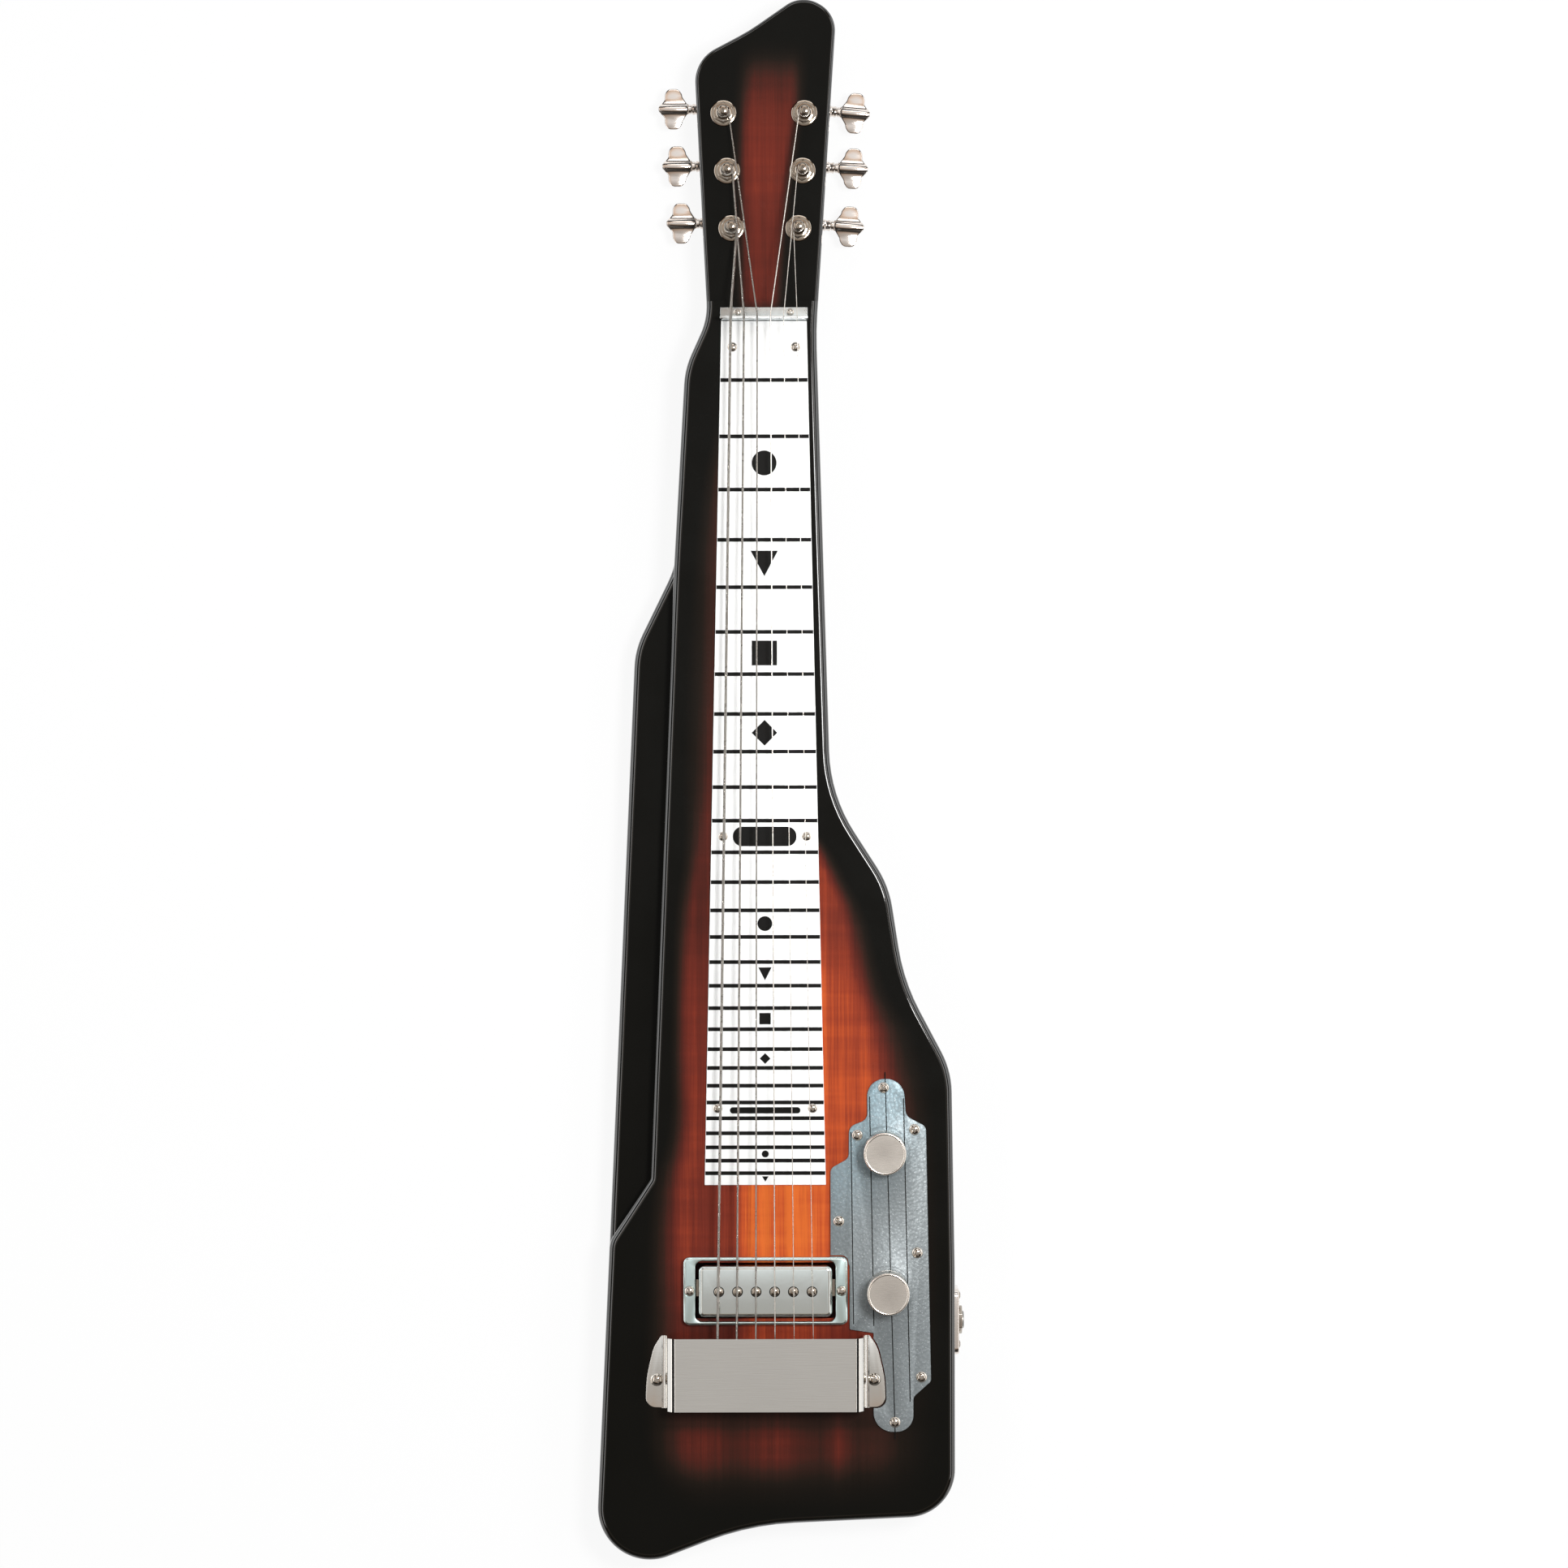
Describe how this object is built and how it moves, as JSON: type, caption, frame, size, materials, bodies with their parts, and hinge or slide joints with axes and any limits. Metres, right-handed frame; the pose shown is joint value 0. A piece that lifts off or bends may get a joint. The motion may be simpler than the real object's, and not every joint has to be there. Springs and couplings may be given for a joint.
{
  "type": "lap steel guitar",
  "caption": "Lap steel guitar with an offset solid body, ledge, marked fret plate, covered bridge, pickup, control plate, side jack, strings and worm-geared tuners that turn.",
  "frame": {"origin": "on the flat back, under the middle of the saddle bar", "axes": "+Y along the strings to the headstock, +Z out of the top, +X to the side with the controls"},
  "size_m": [0.1977, 0.8404, 0.057],
  "materials": {
    "lacquer": "gloss sunburst lacquer, black at the edges and orange in the middle",
    "fret_plastic": "white sheet with black lines and markers",
    "nut_aluminium": "satin",
    "zinc": "zinc plated",
    "chrome": "polished",
    "nickel": "polished nickel plate",
    "ring_metal": "silver grey",
    "bobbin_plastic": "black",
    "magnet": "plain",
    "hammertone": "blue grey hammered paint",
    "steel": "turned steel",
    "string_steel": "drawn and wound steel"
  },
  "bodies": {
    "guitar": {"body": "lacquer", "fret_plate": "fret_plastic", "nut": "nut_aluminium", "nut_screw_left": "nickel", "nut_screw_right": "nickel", "bridge_base": "zinc", "saddle_bar": "chrome", "bridge_cover": "chrome", "cover_screw_left": "nickel", "cover_screw_right": "nickel", "pickup_ring": "ring_metal", "pickup_cover": "chrome", "pickup_bobbin": "bobbin_plastic", "pickup_baseplate": "nickel", "pickup_magnet": "magnet", "pickup_screw_left": "nickel", "pickup_screw_right": "nickel", "control_plate": "hammertone", "volume_pot": "zinc", "volume_pot_nut": "nickel", "tone_pot": "zinc", "tone_pot_nut": "nickel", "jack_plate": "nickel", "jack_socket": "steel", "jack_nut": "nickel", "string_1": "string_steel", "string_2": "string_steel", "string_3": "string_steel", "string_4": "string_steel", "string_5": "string_steel", "string_6": "string_steel", "tuner_1_bushing": "nickel", "tuner_1_housing": "nickel", "tuner_2_bushing": "nickel", "tuner_2_housing": "nickel", "tuner_3_bushing": "nickel", "tuner_3_housing": "nickel", "tuner_4_bushing": "nickel", "tuner_4_housing": "nickel", "tuner_5_bushing": "nickel", "tuner_5_housing": "nickel", "tuner_6_bushing": "nickel", "tuner_6_housing": "nickel"},
    "button_1": {"tuner_1_button": "nickel"},
    "post_1": {"tuner_1_post": "nickel"},
    "button_2": {"tuner_2_button": "nickel"},
    "post_2": {"tuner_2_post": "nickel"},
    "button_3": {"tuner_3_button": "nickel"},
    "post_3": {"tuner_3_post": "nickel"},
    "button_4": {"tuner_4_button": "nickel"},
    "post_4": {"tuner_4_post": "nickel"},
    "button_5": {"tuner_5_button": "nickel"},
    "post_5": {"tuner_5_post": "nickel"},
    "button_6": {"tuner_6_button": "nickel"},
    "post_6": {"tuner_6_post": "nickel"},
    "volume": {"volume_shaft": "steel", "volume_knob": "nickel"},
    "tone": {"tone_shaft": "steel", "tone_knob": "nickel"}
  },
  "joints": [
    {"name": "button_1_turn", "type": "hinge", "parent": "guitar", "child": "button_1", "pos_m": [-0.0175, 0.62674, 0.0125], "axis": [1, 0, 0], "range_deg": [-630, 630]},
    {"name": "post_1_turn", "type": "hinge", "parent": "guitar", "child": "post_1", "pos_m": [-0.0175, 0.62184, 0.0125], "axis": [0, 0, 1], "range_deg": [-46, 46]},
    {"name": "button_2_turn", "type": "hinge", "parent": "guitar", "child": "button_2", "pos_m": [-0.01975, 0.6577, 0.0125], "axis": [1, 0, 0], "range_deg": [-630, 630]},
    {"name": "post_2_turn", "type": "hinge", "parent": "guitar", "child": "post_2", "pos_m": [-0.01975, 0.6528, 0.0125], "axis": [0, 0, 1], "range_deg": [-46, 46]},
    {"name": "button_3_turn", "type": "hinge", "parent": "guitar", "child": "button_3", "pos_m": [-0.02171, 0.6887, 0.0125], "axis": [1, 0, 0], "range_deg": [-630, 630]},
    {"name": "post_3_turn", "type": "hinge", "parent": "guitar", "child": "post_3", "pos_m": [-0.02171, 0.6838, 0.0125], "axis": [0, 0, 1], "range_deg": [-46, 46]},
    {"name": "button_4_turn", "type": "hinge", "parent": "guitar", "child": "button_4", "pos_m": [0.02233, 0.68868, 0.0125], "axis": [0.9962, -0.0872, 0], "range_deg": [-630, 630]},
    {"name": "post_4_turn", "type": "hinge", "parent": "guitar", "child": "post_4", "pos_m": [0.0219, 0.6838, 0.0125], "axis": [0, 0, 1], "range_deg": [-46, 46]},
    {"name": "button_5_turn", "type": "hinge", "parent": "guitar", "child": "button_5", "pos_m": [0.02115, 0.65769, 0.0125], "axis": [0.9986, -0.0523, 0], "range_deg": [-630, 630]},
    {"name": "post_5_turn", "type": "hinge", "parent": "guitar", "child": "post_5", "pos_m": [0.02089, 0.6528, 0.0125], "axis": [0, 0, 1], "range_deg": [-46, 46]},
    {"name": "button_6_turn", "type": "hinge", "parent": "guitar", "child": "button_6", "pos_m": [0.01895, 0.62672, 0.0125], "axis": [0.9976, -0.0698, 0], "range_deg": [-630, 630]},
    {"name": "post_6_turn", "type": "hinge", "parent": "guitar", "child": "post_6", "pos_m": [0.0186, 0.62184, 0.0125], "axis": [0, 0, 1], "range_deg": [-46, 46]},
    {"name": "volume_turn", "type": "hinge", "parent": "guitar", "child": "volume", "pos_m": [0.064, 0.1248, 0.0395], "axis": [0, 0, 1], "range_deg": [-150, 150]},
    {"name": "tone_turn", "type": "hinge", "parent": "guitar", "child": "tone", "pos_m": [0.0657, 0.04989, 0.0395], "axis": [0, 0, 1], "range_deg": [-150, 150]}
  ],
  "couplings": [
    {"joint": "post_1_turn", "follows": "button_1_turn", "ratio": -0.071429},
    {"joint": "post_2_turn", "follows": "button_2_turn", "ratio": -0.071429},
    {"joint": "post_3_turn", "follows": "button_3_turn", "ratio": -0.071429},
    {"joint": "post_4_turn", "follows": "button_4_turn", "ratio": 0.071429},
    {"joint": "post_5_turn", "follows": "button_5_turn", "ratio": 0.071429},
    {"joint": "post_6_turn", "follows": "button_6_turn", "ratio": 0.071429}
  ]
}
